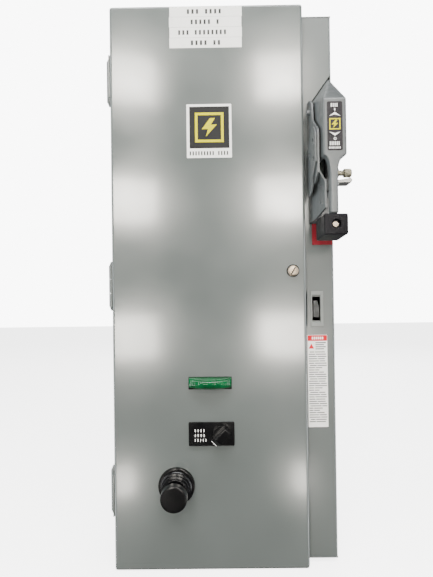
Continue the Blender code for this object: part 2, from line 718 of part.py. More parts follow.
def defeater():
    """The raised frame of the door interlock on the flange, and the small lever that shows in it."""
    rear = FRONT - GAP
    frame = block(
        "defeater_frame",
        (DEFEATER_X0, rear - 0.0012, DEFEATER_Z0),
        (DEFEATER_X1, rear, DEFEATER_Z1),
        GREY,
        0.0005,
    )
    window = block(
        "frame_window",
        (DEFEATER_X0 + 0.0015, rear - 0.01, DEFEATER_Z0 + 0.0045),
        (DEFEATER_X1 - 0.0033, rear + 0.01, DEFEATER_Z1 - 0.0045),
        GREY,
    )
    cut(frame, window)
    x0, x1 = DEFEATER_X0 + 0.0030, DEFEATER_X1 - 0.0046
    z0, z1 = DEFEATER_Z0 + 0.0105, DEFEATER_Z1 - 0.0110
    lever = sheet(
        "defeater_lever",
        [(x0, z0), (x1, z0), (x1, z1 - 0.0075), (x1 - 0.0022, z1), (x0, z1)],
        "XZ",
        FRONT - 0.0002,
        FRONT + 0.0120,
        ZINC,
    )
    return lever


# Switch, fuses and starter inside -------------------------------------------------------------


def switch_base():
    """The moulded base with two barriers and the two bearings of the rotor shaft."""
    base = block("switch_base", (-0.100, -0.0425, 0.150), (0.060, MOUNT, 0.280), PHENOLIC, 0.001)
    barriers = [
        block("pole_barrier", (x - 0.001, -0.080, 0.195), (x + 0.001, -0.041, 0.278), PHENOLIC)
        for x in (-0.045, 0.005)
    ]
    bearings = [
        block("shaft_bearing", (x, -0.074, 0.163), (x + 0.008, -0.041, 0.187), PHENOLIC)
        for x in (-0.0985, 0.0500)
    ]
    join(base, *barriers, *bearings)
    bore = rod(
        "bearing_bore", (-0.11, SHAFT_Y, SHAFT_Z), "X", 0.20, SHAFT_R + PIN_CLEARANCE, PHENOLIC, sides=20
    )
    cut(base, bore)


def line_jaw(number, x):
    """The fixed contact that a blade enters, with its wire lug above."""
    rear = -0.0425 - GAP
    jaw = block(f"line_jaw_{number}", (x - 0.0037, -0.073, 0.222), (x + 0.0037, rear, 0.252), COPPER)
    lug = block("line_lug", (x - 0.009, -0.062, 0.2515), (x + 0.009, rear, 0.272), COPPER, 0.0008)
    join(jaw, lug)
    slot = block("jaw_slot", (x - 0.0018, -0.08, 0.215), (x + 0.0018, -0.048, 0.2514), COPPER)
    wire_way = rod("lug_bore", (x, -0.053, 0.262), "Z", 0.02, 0.0045, COPPER, sides=16)
    cut(jaw, slot, wire_way)


def blade(number, x):
    """A switch blade, swung open by the throw."""
    made = block(
        f"blade_{number}",
        (-BLADE_T / 2, -BLADE_W / 2, SHAFT_R + GAP),
        (BLADE_T / 2, BLADE_W / 2, BLADE_REACH),
        COPPER,
    )
    made.data.transform(Matrix.Translation((0, 0, (SHAFT_R + GAP + BLADE_REACH) / 2)))
    made.location = (x, SHAFT_Y, SHAFT_Z)
    made.rotation_euler = (THROW, 0, 0)
    return made


def rotor():
    """The insulating shaft that carries the blades, with its crank outside the switch."""
    shaft = rod("rotor_shaft", (-0.0970, SHAFT_Y, SHAFT_Z), "X", 0.2110, SHAFT_R, BLACK, sides=20)
    outline = bar_outline((SHAFT_Y, SHAFT_Z), ROTOR_PIN, 0.009, 0.006)
    crank = sheet("rotor_crank", outline, "YZ", CRANK_X0, CRANK_X1, BLACK)
    join(shaft, crank)
    hole = rod(
        "rotor_pin_hole",
        (CRANK_X0 - 0.001, *ROTOR_PIN),
        "X",
        0.006,
        CRANK_PIN_R + PIN_CLEARANCE,
        BLACK,
        sides=16,
    )
    return cut(shaft, hole)


def drive_link():
    """The bar between the handle's crank and the rotor's, with a pin at each end."""
    outline = bar_outline(CRANK_PIN, ROTOR_PIN, 0.0055, 0.0055)
    link = sheet("drive_link", outline, "YZ", LINK_X0, LINK_X1, ZINC)
    pins = [
        rod("link_pin", (LINK_X0 + 0.001, *pin), "X", 0.0070, CRANK_PIN_R, ZINC, sides=16)
        for pin in (CRANK_PIN, ROTOR_PIN)
    ]
    return join(link, *pins)


def fuse_block():
    block("fuse_base", (-0.100, -0.0320, -0.005), (0.060, MOUNT, 0.142), PHENOLIC, 0.001)
    clips = {"upper": FUSE_Z1 - 0.0195, "lower": FUSE_Z0 + 0.0045}
    for number, x in enumerate(POLES, 1):
        for level, low in clips.items():
            fuse_clip(f"fuse_clip_{level}_{number}", x, low)
        fuse(number, x)


def fuse_clip(name, x, low):
    """A spring clip that holds a fuse's ferrule and opens to the front."""
    high = low + 0.015
    clip = block(name, (x - 0.0125, -0.0660, low), (x + 0.0125, -0.0320 - GAP, high), COPPER)
    bore = rod("clip_bore", (x, FUSE_Y, low - 0.01), "Z", 0.04, FUSE_R + GAP, COPPER, sides=24)
    mouth = block("clip_mouth", (x - 0.0085, -0.09, low - 0.01), (x + 0.0085, FUSE_Y, high + 0.01), COPPER)
    relief = block("clip_relief", (x - 0.02, -0.0440, low - 0.01), (x - 0.004, -0.0355, high + 0.01), COPPER)
    other = block("clip_relief", (x + 0.004, -0.0440, low - 0.01), (x + 0.02, -0.0355, high + 0.01), COPPER)
    cut(clip, bore, mouth, relief, other)


def fuse(number, x):
    """A cartridge fuse: two ferrules with a slightly thinner tube between them."""
    start, length = (x, FUSE_Y, FUSE_Z0 + 0.004), FUSE_Z1 - FUSE_Z0 - 0.008
    tube = rod(f"fuse_{number}", start, "Z", length, FUSE_R - 0.0006, FIBRE)
    ferrules = [
        rod("ferrule", (x, FUSE_Y, low), "Z", FERRULE, FUSE_R, COPPER, bevel=0.0006)
        for low in (FUSE_Z0, FUSE_Z1 - FERRULE)
    ]
    join(tube, *ferrules)


def contactor():
    """A three-pole contactor: base, arc cover with a window, and the contact carrier that shows in it."""
    x0, x1, z0, z1 = -0.080, 0.010, -0.145, -0.025
    block("contactor_base", (x0, -0.0700, z0), (x1, MOUNT, z1), BLACK, 0.0015)
    cover = block(
        "contactor_cover", (x0 + 0.004, -0.1000, z0 + 0.018), (x1 - 0.004, -0.0703, z1 - 0.018), BLACK, 0.002
    )
    middle_x, middle_z = (x0 + x1) / 2, (z0 + z1) / 2
    window = block(
        "carrier_window",
        (middle_x - 0.016, -0.11, middle_z - 0.011),
        (middle_x + 0.016, -0.076, middle_z + 0.011),
        BLACK,
    )
    slots = [
        block("arc_slot", (x - 0.0012, -0.11, edge - 0.012), (x + 0.0012, -0.088, edge + 0.012), BLACK)
        for x in (x0 + 0.030, x1 - 0.030)
        for edge in (z0 + 0.018, z1 - 0.018)
    ]
    cut(cover, window, *slots)
    return block(
        "contact_carrier",
        (middle_x - 0.0152, -0.1030, middle_z - 0.0102),
        (middle_x + 0.0152, -0.0820, middle_z + 0.0102),
        PHENOLIC,
        0.0008,
    )


def overload_relay():
    """The relay under the contactor, its reset pin and its load terminals."""
    x0, x1, z0, z1 = -0.080, 0.010, -0.256, -0.150
    relay = block("overload_relay", (x0, -0.0820, z0), (x1, MOUNT, z1), BLACK, 0.0015)
    step = block("terminal_step", (x0 - 0.01, -0.10, z0 - 0.01), (x1 + 0.01, -0.0500, z0 + 0.018), BLACK)
    pin_way = rod("reset_way", (RESET_X, -0.09, RESET_Z), "Y", 0.030, 0.0050, BLACK, sides=16)
    cut(relay, step, pin_way)
    pin = rod(
        "overload_reset_pin", (RESET_X, -0.0960, RESET_Z), "Y", 0.0300, 0.0045, RED, sides=16, bevel=0.0005
    )
    for number, x in enumerate((-0.062, -0.035, -0.008), 1):
        low, high = (x - 0.008, -0.0640, z0 + 0.002), (x + 0.008, -0.0500 - GAP, z0 + 0.016)
        terminal = block(f"load_terminal_{number}", low, high, COPPER, 0.0006)
        cut(terminal, rod("terminal_bore", (x, -0.057, z0 - 0.01), "Z", 0.05, 0.0040, COPPER, sides=16))
    return pin


def ground_lug():
    lug = block("ground_lug", (0.035, -0.030, -0.268), (0.053, MOUNT, -0.244), COPPER, 0.0008)
    cut(lug, rod("lug_bore", (0.044, -0.021, -0.28), "Z", 0.05, 0.0045, COPPER, sides=16))


def main():
    enclosure_box()
    side_flange()
    mounting_plate()
    screw_clip()
    handle_bracket()
    lock_plate()
    handle_fixings()
    switch_base()
    for number, x in enumerate(POLES, 1):
        line_jaw(number, x)
    fuse_block()
    ground_lug()

    leaves = [hinge(number, z) for number, z in enumerate(HINGE_ZS, 1)]
    plate, knob, contact_block = selector()
    nut, boot, button = reset_button()
    door_pieces = [door_panel(), *leaves, *pilot_light(), plate, contact_block, nut, boot]
    body("door_axis", (HINGE_X, HINGE_Y, 0), door_pieces)
    body("door_screw_axis", (SCREW_X, DOOR_FRONT, SCREW_Z), [door_screw()])
    body("selector_axis", (KNOB_X, DOOR_FRONT, SELECTOR_Z), [knob])
    body("reset_axis", (RESET_X, DOOR_FRONT, RESET_Z), [button])

    body("handle_axis", (HEAD_X0, PIVOT_Y, PIVOT_Z), [handle_lever(), *handle_grip()])
    body("link_axis", (LINK_X0, *CRANK_PIN), [drive_link()])
    blades = [blade(number, x) for number, x in enumerate(POLES, 1)]
    body("rotor_axis", (0, SHAFT_Y, SHAFT_Z), [rotor(), *blades])
    body("carrier_axis", (-0.035, -0.10, -0.085), [contactor()])
    body("overload_reset_axis", (RESET_X, -0.09, RESET_Z), [overload_relay()])
    body("defeater_axis", (DEFEATER_X0 + 0.007, FRONT, DEFEATER_Z0 + 0.021), [defeater()])


main()
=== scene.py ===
"""Looks of the fused disconnect switch: finishes, labels, fine shapes, lights, floor and camera.

Everything is in the frame's metres: +Z up, the front faces -Y. Pieces are placed from the CAD
nodes' boxes. Printed labels have their own sizes, in millimetres, and are placed from the edges of
the door, the flange or the lever that carries them.
"""

import json
import math

import bmesh
import bpy
from mathutils import Matrix, Vector


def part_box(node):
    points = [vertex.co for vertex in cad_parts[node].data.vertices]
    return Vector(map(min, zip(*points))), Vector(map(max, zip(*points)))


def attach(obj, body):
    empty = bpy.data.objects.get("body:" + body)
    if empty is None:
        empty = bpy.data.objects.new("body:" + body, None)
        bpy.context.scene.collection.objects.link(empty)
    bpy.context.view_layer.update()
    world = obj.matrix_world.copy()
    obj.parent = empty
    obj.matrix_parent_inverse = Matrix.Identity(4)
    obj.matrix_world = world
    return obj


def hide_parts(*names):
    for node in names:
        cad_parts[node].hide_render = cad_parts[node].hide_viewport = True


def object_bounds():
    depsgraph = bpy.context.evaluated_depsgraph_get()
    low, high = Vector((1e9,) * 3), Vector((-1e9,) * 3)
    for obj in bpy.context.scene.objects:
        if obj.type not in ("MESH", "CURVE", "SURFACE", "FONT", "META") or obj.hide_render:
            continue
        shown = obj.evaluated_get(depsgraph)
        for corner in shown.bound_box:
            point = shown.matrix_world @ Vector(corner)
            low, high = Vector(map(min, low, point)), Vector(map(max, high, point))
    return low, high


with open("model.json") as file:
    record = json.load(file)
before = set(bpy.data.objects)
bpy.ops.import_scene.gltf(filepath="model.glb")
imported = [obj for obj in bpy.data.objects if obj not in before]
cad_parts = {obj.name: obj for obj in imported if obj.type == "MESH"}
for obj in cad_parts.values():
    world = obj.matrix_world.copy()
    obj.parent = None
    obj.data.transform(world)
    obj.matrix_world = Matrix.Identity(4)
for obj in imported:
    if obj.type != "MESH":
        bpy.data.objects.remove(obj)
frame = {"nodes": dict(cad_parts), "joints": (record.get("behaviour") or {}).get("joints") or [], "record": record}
CAD_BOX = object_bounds()
NODES = frame["nodes"]
SUBPARTS = frame["record"]["subparts"]
BODIES = frame["record"]["behaviour"]["bodies"]
BODY_OF = {node: body for body, members in BODIES.items() for node in members}
MM = 0.001
FILM = 0.06 * MM  # how far a printed mark stands on its label
SHARP_ANGLE = 40  # degrees; a sharper edge isn't shaded smooth
PLAIN = (1, 1, 1)

# Sockets of a Mix node set to RGBA, whose names are shared with its other types
MIX_COLOUR_A, MIX_COLOUR_B, MIX_COLOUR_RESULT = 6, 7, 2


# Materials ------------------------------------------------------------------------------------


class Finish:
    """A Principled material, to which each call adds one layer of detail."""

    def __init__(self, name, colour, roughness, metallic=0.0, **sockets):
        self.made = bpy.data.materials.new(name)
        self.made.use_nodes = True
        tree = self.made.node_tree
        self.nodes, self.links = tree.nodes, tree.links
        self.shader = self.nodes["Principled BSDF"]
        self.colour = colour
        self.shader.inputs["Base Color"].default_value = (*colour, 1)
        self.shader.inputs["Roughness"].default_value = roughness
        self.shader.inputs["Metallic"].default_value = metallic
        for socket, value in sockets.items():
            self.shader.inputs[socket.replace("_", " ")].default_value = value
        self.place = self.nodes.new("ShaderNodeTexCoord").outputs["Object"]
        self.normal = None

    def noise(self, scale, detail=2.0, stretch=PLAIN):
        """Noise in the piece's own coordinates; stretch squeezes it along an axis."""
        source = self.place
        if stretch != PLAIN:
            mapping = self.nodes.new("ShaderNodeMapping")
            mapping.inputs["Scale"].default_value = stretch
            self.links.new(source, mapping.inputs["Vector"])
            source = mapping.outputs["Vector"]
        made = self.nodes.new("ShaderNodeTexNoise")
        made.inputs["Scale"].default_value = scale
        made.inputs["Detail"].default_value = detail
        self.links.new(source, made.inputs["Vector"])
        return made.outputs["Fac"]

    def ramp(self, factor, stops):
        """A factor turned into colours, by (position, colour) stops."""
        made = self.nodes.new("ShaderNodeValToRGB")
        spare = made.color_ramp.elements
        for index, (position, colour) in enumerate(stops):
            stop = spare[index] if index < len(spare) else spare.new(position)
            stop.position = position
            stop.color = (*colour, 1)
        self.links.new(factor, made.inputs["Fac"])
        return made.outputs["Color"]

    def mottle(self, scale, amount, detail=3.0, stretch=PLAIN):
        """Blotches a little darker and lighter than the colour."""
        dark = tuple(part * (1 - amount) for part in self.colour)
        light = tuple(min(1, part * (1 + amount)) for part in self.colour)
        blotches = self.ramp(self.noise(scale, detail, stretch), [(0.3, dark), (0.7, light)])
        self.links.new(blotches, self.shader.inputs["Base Color"])
        return self

    def specks(self, scale, colour, level=0.72):
        """Small spots of another colour, over a mottle that is already there."""
        mix = self.nodes.new("ShaderNodeMix")
        mix.data_type = "RGBA"
        stops = [(level, (0, 0, 0)), (level + 0.06, (1, 1, 1))]
        base = self.shader.inputs["Base Color"]
        self.links.new(self.ramp(self.noise(scale, 4.0), stops), mix.inputs["Factor"])
        self.links.new(base.links[0].from_socket, mix.inputs[MIX_COLOUR_A])
        mix.inputs[MIX_COLOUR_B].default_value = (*colour, 1)
        self.links.new(mix.outputs[MIX_COLOUR_RESULT], base)
        return self

    def smudge(self, scale, low, high, stretch=PLAIN):
        """Roughness that wanders between two values."""
        span = self.nodes.new("ShaderNodeMapRange")
        span.inputs["From Min"].default_value = 0.3
        span.inputs["From Max"].default_value = 0.7
        span.inputs["To Min"].default_value = low
        span.inputs["To Max"].default_value = high
        self.links.new(self.noise(scale, 3.0, stretch), span.inputs["Value"])
        self.links.new(span.outputs["Result"], self.shader.inputs["Roughness"])
        return self

    def grain(self, scale, height, detail=2.0, stretch=PLAIN):
        """Bumps, each layer on top of the last."""
        bump = self.nodes.new("ShaderNodeBump")
        bump.inputs["Distance"].default_value = height
        self.links.new(self.noise(scale, detail, stretch), bump.inputs["Height"])
        if self.normal is not None:
            self.links.new(self.normal, bump.inputs["Normal"])
        self.normal = bump.outputs["Normal"]
        self.links.new(self.normal, self.shader.inputs["Normal"])
        return self


ENAMEL = Finish(
    "door_enamel",
    (0.098, 0.112, 0.108),
    0.18,
    Coat_Weight=0.5,
    Coat_Roughness=0.10,
    Specular_IOR_Level=0.7,
)
ENAMEL.mottle(9, 0.05).smudge(14, 0.15, 0.24).grain(6, 0.0006, 1).grain(420, 0.00002)
BOX_ENAMEL = Finish(
    "box_enamel", (0.092, 0.105, 0.101), 0.26, Coat_Weight=0.35, Coat_Roughness=0.16
)
BOX_ENAMEL.mottle(11, 0.06).smudge(16, 0.26, 0.42).grain(420, 0.00002)
CAST = Finish("cast_enamel", (0.080, 0.089, 0.091), 0.34, Coat_Weight=0.25, Coat_Roughness=0.22)
CAST.mottle(60, 0.12).specks(500, (0.17, 0.18, 0.18), 0.70)
CAST.smudge(90, 0.30, 0.48).grain(900, 0.00006)
BLACK = Finish("black_moulding", (0.0020, 0.0020, 0.0024), 0.20, Specular_IOR_Level=0.22)
BLACK.mottle(80, 0.25).smudge(60, 0.14, 0.26).grain(900, 0.00001)
GRIP_BLACK = Finish("grip_moulding", (0.0032, 0.0030, 0.0048), 0.36, Specular_IOR_Level=0.14)
GRIP_BLACK.mottle(120, 0.3).specks(900, (0.02, 0.02, 0.024), 0.68)
GRIP_BLACK.smudge(90, 0.28, 0.42).grain(1300, 0.00008)
RUBBER = Finish("boot_rubber", (0.0020, 0.0020, 0.0024), 0.24, Specular_IOR_Level=0.26)
RUBBER.mottle(200, 0.3).smudge(120, 0.18, 0.32).grain(700, 0.00001)
ZINC = Finish("zinc_plate", (0.34, 0.34, 0.33), 0.36, 1.0)
ZINC.mottle(70, 0.16).smudge(45, 0.26, 0.50, (1, 1, 0.15)).grain(500, 0.00002, 2, (1, 1, 0.1))
NICKEL = Finish("nickel_plate", (0.44, 0.36, 0.27), 0.30, 1.0)
NICKEL.mottle(260, 0.12).smudge(300, 0.22, 0.44).grain(1600, 0.00002)
COPPER = Finish("tinned_copper", (0.66, 0.42, 0.28), 0.34, 1.0)
COPPER.mottle(55, 0.22).smudge(70, 0.26, 0.50).grain(600, 0.00002)
RED = Finish("red_enamel", (0.19, 0.007, 0.015), 0.45, Specular_IOR_Level=0.2)
RED.mottle(90, 0.15).smudge(60, 0.34, 0.52).grain(600, 0.00002)
LENS = Finish(
    "green_lens",
    (0.001, 0.085, 0.024),
    0.10,
    Transmission_Weight=0.15,
    IOR=1.45,
    Specular_IOR_Level=0.45,
)
LENS.mottle(90, 0.35).grain(900, 0.000004)
PHENOLIC = Finish("brown_phenolic", (0.080, 0.040, 0.028), 0.44)
PHENOLIC.mottle(130, 0.35).specks(800, (0.14, 0.08, 0.05), 0.66)
PHENOLIC.smudge(60, 0.36, 0.54).grain(700, 0.00003)
FIBRE = Finish("wound_fibre", (0.55, 0.42, 0.27), 0.55)
FIBRE.mottle(50, 0.15, 3, (1, 1, 12)).smudge(80, 0.45, 0.65).grain(60, 0.00010, 2, (1, 1, 12))
VINYL = Finish("white_tape", (0.86, 0.86, 0.83), 0.30)
VINYL.mottle(40, 0.03).smudge(50, 0.24, 0.38).grain(300, 0.00002)
PLATE_WHITE = Finish("white_label", (0.93, 0.925, 0.90), 0.28)
PLATE_WHITE.mottle(35, 0.02).smudge(40, 0.22, 0.34).grain(260, 0.00002)
LABEL_BLACK = Finish("label_black", (0.022, 0.022, 0.022), 0.50, Specular_IOR_Level=0.08)
LABEL_BLACK.mottle(50, 0.10).smudge(60, 0.42, 0.58).grain(500, 0.00002)
LABEL_GREY = Finish("label_grey", (0.030, 0.028, 0.030), 0.50, Specular_IOR_Level=0.08)
LABEL_GREY.mottle(300, 0.30).specks(900, (0.09, 0.09, 0.09), 0.64)
LABEL_GREY.smudge(90, 0.42, 0.58).grain(900, 0.00004)
YELLOW = Finish("label_yellow", (0.62, 0.56, 0.0), 0.50, Specular_IOR_Level=0.0)
YELLOW.mottle(90, 0.04).smudge(80, 0.28, 0.40).grain(500, 0.00001)
LABEL_RED = Finish("label_red", (0.60, 0.006, 0.020), 0.50, Specular_IOR_Level=0.05)
LABEL_RED.mottle(90, 0.05).smudge(80, 0.28, 0.40).grain(500, 0.00001)
INK = Finish("grey_ink", (0.045, 0.045, 0.045), 0.55, Specular_IOR_Level=0.1)
INK.mottle(600, 0.15).smudge(300, 0.38, 0.52).grain(900, 0.00001)
WHITE_INK = Finish("white_ink", (0.90, 0.90, 0.88), 0.50)
WHITE_INK.mottle(600, 0.05).smudge(300, 0.36, 0.50).grain(900, 0.00001)
KNURLED = Finish("knurled_zinc", (0.24, 0.225, 0.17), 0.34, 1.0)
KNURLED.mottle(500, 0.5).smudge(300, 0.28, 0.5).grain(1100, 0.0004)
STEEL = Finish("dark_steel", (0.045, 0.047, 0.048), 0.30, 0.8)
STEEL.mottle(120, 0.35).specks(500, (0.35, 0.35, 0.34), 0.70)
STEEL.smudge(200, 0.24, 0.44).grain(600, 0.00006)
RIM_ENAMEL = Finish("rim_enamel", (0.165, 0.178, 0.172), 0.34, Coat_Weight=0.2, Coat_Roughness=0.2)
RIM_ENAMEL.mottle(60, 0.08).smudge(60, 0.28, 0.44).grain(420, 0.00003)
# Painted shade: a near-black finish laid in the door screw's slot, to darken it as shade in the slot would
SLOT_SHADE = Finish("painted_slot_shade", (0.010, 0.010, 0.011), 0.80)
SLOT_SHADE.mottle(200, 0.2).smudge(60, 0.70, 0.90).grain(400, 0.00002)
FLOOR = Finish(
    "pale_floor", (0.90, 0.90, 0.89), 0.60, Emission_Color=(1, 1, 1, 1), Emission_Strength=4.0
)
FLOOR.mottle(3, 0.01).smudge(4, 0.55, 0.65).grain(60, 0.00005)


# Mesh helpers ---------------------------------------------------------------------------------


def piece(name, mesh, finish, body, smooth=SHARP_ANGLE):
    """A mesh in the frame's own coordinates, made an object that moves with a body."""
    mesh.materials.append(finish.made)
    mesh.shade_smooth()
    mesh.set_sharp_from_angle(angle=math.radians(smooth))
    made = bpy.data.objects.new(name, mesh)
    bpy.context.scene.collection.objects.link(made)
    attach(made, body)
    return made


def from_bmesh(name, bm, finish, body, smooth=SHARP_ANGLE):
    """A piece made from a bmesh, which is used up."""
    bmesh.ops.recalc_face_normals(bm, faces=bm.faces)
    mesh = bpy.data.meshes.new(name)
    bm.to_mesh(mesh)
    bm.free()
    return piece(name, mesh, finish, body, smooth)


def bare_mesh(node):
    """A CAD node's shape with its coplanar triangles merged into whole faces."""
    source = NODES[node].data
    mesh = bpy.data.meshes.new(node + "_fine")
    faces = [tuple(polygon.vertices) for polygon in source.polygons]
    mesh.from_pydata([vertex.co for vertex in source.vertices], [], faces)
    bm = bmesh.new()
    bm.from_mesh(mesh)
    bmesh.ops.remove_doubles(bm, verts=bm.verts, dist=1e-6)
    bmesh.ops.dissolve_limit(bm, angle_limit=0.005, verts=bm.verts, edges=bm.edges)
    bmesh.ops.recalc_face_normals(bm, faces=bm.faces)
    bm.to_mesh(mesh)
    bm.free()
    return mesh


def soften(made, edge):
    """Small rounded edges, with the flat faces beside them still shaded flat."""
    bevel = made.modifiers.new("soft edges", "BEVEL")
    bevel.width = edge
    bevel.segments = 2
    bevel.limit_method = "ANGLE"
    bevel.angle_limit = math.radians(50)
    bevel.use_clamp_overlap = True
    even = made.modifiers.new("flat faces stay flat", "WEIGHTED_NORMAL")
    even.keep_sharp = True
    even.weight = 90


def refine(node, finish, edge):
    """A CAD node's own shape, with smooth round faces and small rounded edges."""
    made = piece(node + "_fine", bare_mesh(node), finish, BODY_OF[node])
    soften(made, edge)
    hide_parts(node)


def arc(centre, radius, first, last, count=6):
    """Points on an arc, in degrees from the first axis."""
    angles = [math.radians(first + (last - first) * i / (count - 1)) for i in range(count)]
    return [(centre[0] + radius * math.cos(a), centre[1] + radius * math.sin(a)) for a in angles]


def rounded(x0, z0, x1, z1, radius):
    """A rectangle with round corners, as points in X and Z."""
    return (
        arc((x1 - radius, z1 - radius), radius, 0, 90)
        + arc((x0 + radius, z1 - radius), radius, 90, 180)
        + arc((x0 + radius, z0 + radius), radius, 180, 270)
        + arc((x1 - radius, z0 + radius), radius, 270, 360)
    )


def rectangle(x0, z0, x1, z1):
    """A rectangle's corners, as points in X and Z."""
    return [(x0, z0), (x1, z0), (x1, z1), (x0, z1)]


def add_prism(bm, outline, rear, front):
    """A closed prism on an outline in X and Z, between two values of Y."""
    back = [bm.verts.new((x, rear, z)) for x, z in outline]
    face = [bm.verts.new((x, front, z)) for x, z in outline]
    bm.faces.new(back)
    bm.faces.new(face)
    for i in range(len(outline)):
        j = (i + 1) % len(outline)
        bm.faces.new((back[i], back[j], face[j], face[i]))


def flat(name, outlines, rear, thickness, finish, body):
    """One piece from several outlines, on a plane of constant Y and standing out to the front."""
    bm = bmesh.new()
    for outline in outlines:
        add_prism(bm, outline, rear, rear - thickness)
    return from_bmesh(name, bm, finish, body)


def frame_outlines(x0, z0, x1, z1, width):
    """The four bars of a square outline."""
    return [
        rectangle(x0, z0, x1, z0 + width),
        rectangle(x0, z1 - width, x1, z1),
        rectangle(x0, z0 + width, x0 + width, z1 - width),
        rectangle(x1 - width, z0 + width, x1, z1 - width),
    ]


def word_blocks(x0, x1, z0, z1, pattern, gap=0.25):
    """Plain blocks in place of lettering, in a row; the pattern gives each word's length."""
    cells = sum(pattern) + len(pattern) - 1
    pitch = (x1 - x0) / cells
    blocks, at = [], 0
    for length in pattern:
        for _ in range(length):
            left = x0 + at * pitch
            blocks.append(rectangle(left, z0, left + pitch * (1 - gap), z1))
            at += 1
        at += 1
    return blocks


def lathe(
    name, profile, centre, axis, finish, body, steps=48, smooth=SHARP_ANGLE
):
    """A body turned about a line along axis; the profile is (distance along it, radius) pairs."""
    direction = Vector(axis)
    side = direction.orthogonal().normalized()
    up = direction.cross(side)
    bm = bmesh.new()
    turn = [2 * math.pi * i / steps for i in range(steps)]
    around = [side * math.cos(angle) + up * math.sin(angle) for angle in turn]
    rings = []
    for along, radius in profile:
        middle = Vector(centre) + direction * along
        if radius < 1e-7:
            rings.append([bm.verts.new(middle)])
            continue
        rings.append([bm.verts.new(middle + radius * spoke) for spoke in around])
    for first, second in zip(rings, rings[1:]):
        for i in range(steps):
            j = (i + 1) % steps
            corners = [first[i % len(first)], first[j % len(first)]]
            corners += [second[j % len(second)], second[i % len(second)]]
            unique = list(dict.fromkeys(corners))
            if len(unique) > 2:
                bm.faces.new(unique)
    return from_bmesh(name, bm, finish, body, smooth)


def sleeve(first, last, inner, outer):
    """The profile of a short tube, for lathe."""
    return [(first, inner), (first, outer), (last, outer), (last, inner), (first, inner)]


def slotted_screw(name, centre, radius, height, angle):
    """A zinc-plated domed screw head inside the box, facing -Y, with a slot across it."""
    profile = [(0, 0), (0, radius), (height * 0.45, radius), (height * 0.8, radius * 0.86)]
    profile += [(height, radius * 0.55), (height * 1.04, 0)]
    head = lathe(name, profile, centre, (0, -1, 0), ZINC, "enclosure", steps=28)
    half, width, deep = radius * 1.2, radius * 0.14, height * 0.45
    bm = bmesh.new()
    add_prism(bm, rectangle(-half, -width, half, width), 0, -height)
    place = Matrix.Translation(Vector(centre) + Vector((0, -height + deep, 0)))
    turn = Matrix.Rotation(math.radians(angle), 4, "Y")
    bmesh.ops.transform(bm, matrix=place @ turn, verts=bm.verts)
    carve(head, bm)


def settle(made):
    """Makes the result of an object's modifiers its mesh."""
    bpy.context.view_layer.update()
    graph = bpy.context.evaluated_depsgraph_get()
    result = bpy.data.meshes.new_from_object(made.evaluated_get(graph))
    made.modifiers.clear()
    made.data = result


def carve(target, bm):
    """Cuts a closed bmesh out of a piece and keeps the result as its mesh."""
    bmesh.ops.recalc_face_normals(bm, faces=bm.faces)
    mesh = bpy.data.meshes.new("cutter")
    bm.to_mesh(mesh)
    bm.free()
    cutter = bpy.data.objects.new("cutter", mesh)
    bpy.context.scene.collection.objects.link(cutter)
    boolean = target.modifiers.new("cut", "BOOLEAN")
    boolean.object = cutter
    settle(target)
    target.data.set_sharp_from_angle(angle=math.radians(SHARP_ANGLE))
    bpy.data.objects.remove(cutter)


# CAD nodes with their finishes ----------------------------------------------------------------

DOOR_LOW, DOOR_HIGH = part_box("door_panel")
DOOR_FACE = DOOR_LOW.y
FLANGE_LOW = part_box("side_flange")[0]
FLANGE_FACE = FLANGE_LOW.y

# The finish and the edge radius of each material slot
FINISHES = {
    "grey_enamel": (BOX_ENAMEL, 0.0004),
    "cast_grey_enamel": (CAST, 0.0004),
    "black_plastic": (BLACK, 0.0004),
    "black_rubber": (RUBBER, 0.0003),
    "zinc_plate": (ZINC, 0.0003),
    "nickel_screw": (NICKEL, 0.0002),
    "copper": (COPPER, 0.0002),
    "red_enamel": (RED, 0.0003),
    "green_lens": (LENS, 0.0003),
    "brown_phenolic": (PHENOLIC, 0.0003),
    "fuse_tube": (FIBRE, 0.0002),
}
OWN_FINISH = {
    "door_panel": ENAMEL,
    "handle_grip": GRIP_BLACK,
    "pivot_pin": CAST,
    "defeater_frame": RIM_ENAMEL,
    "defeater_lever": STEEL,
}
OWN_SHAPE = {"pilot_lens", "handle_lever", "lock_bolt", "door_screw", "fuse_1", "fuse_2", "fuse_3"}


def refine_nodes():
    """Every node that isn't modelled again below, in its record's slot."""
    for part in SUBPARTS:
        node = part["node"]
        if node in OWN_SHAPE:
            continue
        slot = part["material_slot"]
        finish, edge = FINISHES[slot]
        refine(node, OWN_FINISH.get(node, finish), edge)


# Door -----------------------------------------------------------------------------------------


def tape_strips():
    """Four strips of printed label tape, one above the other, at the door's top edge."""
    left, top = DOOR_LOW.x + 69.4 * MM, DOOR_HIGH.z - 1.6 * MM
    width, pitch, thick = 83.0 * MM, 12.0 * MM, 0.18 * MM
    # Each strip's small shift, its lettering's two ends and the lengths of its words
    rows = (
        (0.2, 20.4, 62.0, (3, 4)),
        (-0.3, 24.6, 59.2, (5, 1)),
        (0.1, 10.1, 67.4, (3, 8)),
        (-0.2, 24.6, 60.6, (4, 2)),
    )
    strips, marks = [], []
    for row, (shift, first, last, words) in enumerate(rows):
        z1 = top - row * pitch
        x0 = left + shift * MM
        strips.append(rectangle(x0, z1 - pitch + 0.25 * MM, x0 + width, z1))
        x0, x1 = left + first * MM, left + last * MM
        marks += word_blocks(x0, x1, z1 - 8.6 * MM, z1 - 3.2 * MM, words, 0.52)
    flat("label_tape", strips, DOOR_FACE, thick, VINYL, "door")
    flat("label_tape_marks", marks, DOOR_FACE - thick, FILM, INK, "door")


